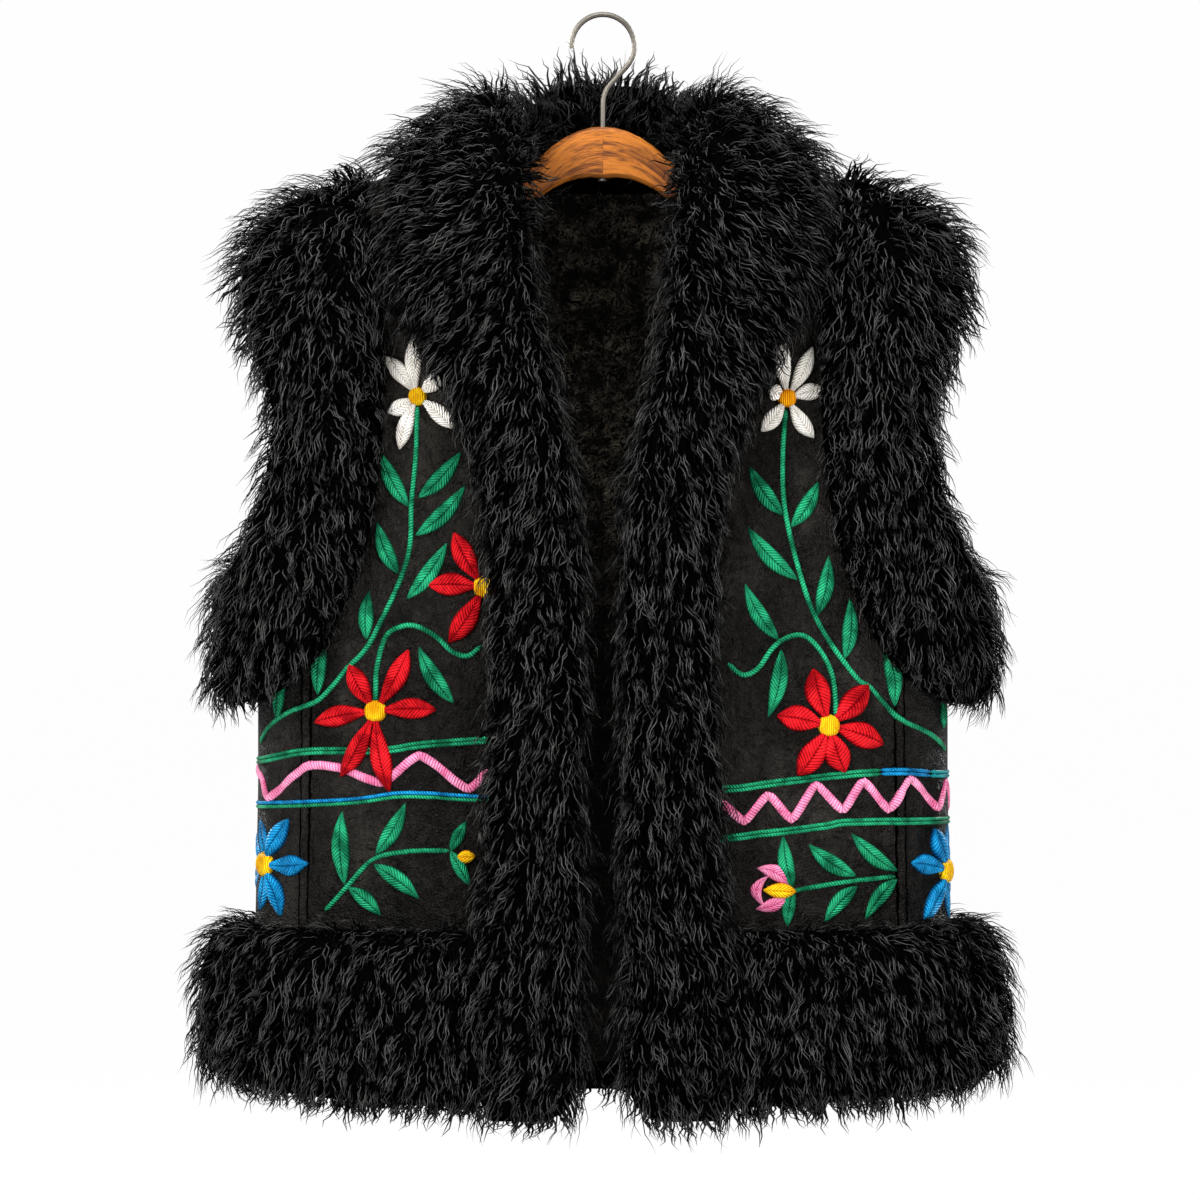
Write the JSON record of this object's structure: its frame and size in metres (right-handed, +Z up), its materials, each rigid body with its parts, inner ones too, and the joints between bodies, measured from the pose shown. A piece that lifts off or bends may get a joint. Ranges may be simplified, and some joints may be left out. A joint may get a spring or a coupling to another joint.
{
  "type": "gilet on a hanger",
  "caption": "Sleeveless leather gilet edged with long curly fur, its open front embroidered, hanging on a wooden hanger with a steel hook.",
  "frame": {"origin": "underside of the top of the hanger's hook, where a rail bears", "axes": "+Z up, the gilet's front towards -Y, the wearer's left towards +X"},
  "size_m": [0.5826, 0.2526, 0.7778],
  "materials": {
    "leather": "soft black leather, wool side in",
    "fur": "long black curly fur on the skin",
    "wood": "varnished orange-brown",
    "steel": "bright nickelled wire"
  },
  "bodies": {
    "root": {"collar_fur_right": "fur", "collar_fur_left": "fur", "armhole_fur_right": "fur", "armhole_fur_left": "fur", "hem_fur_right": "fur", "hem_fur_left": "fur", "hem_fur_back": "fur", "front_right": "leather", "front_left": "leather", "back_right": "leather", "back_left": "leather", "side_right": "leather", "side_left": "leather", "hanger_wood": "wood", "hanger_hook": "steel", "hook_head": "steel"}
  },
  "joints": []
}
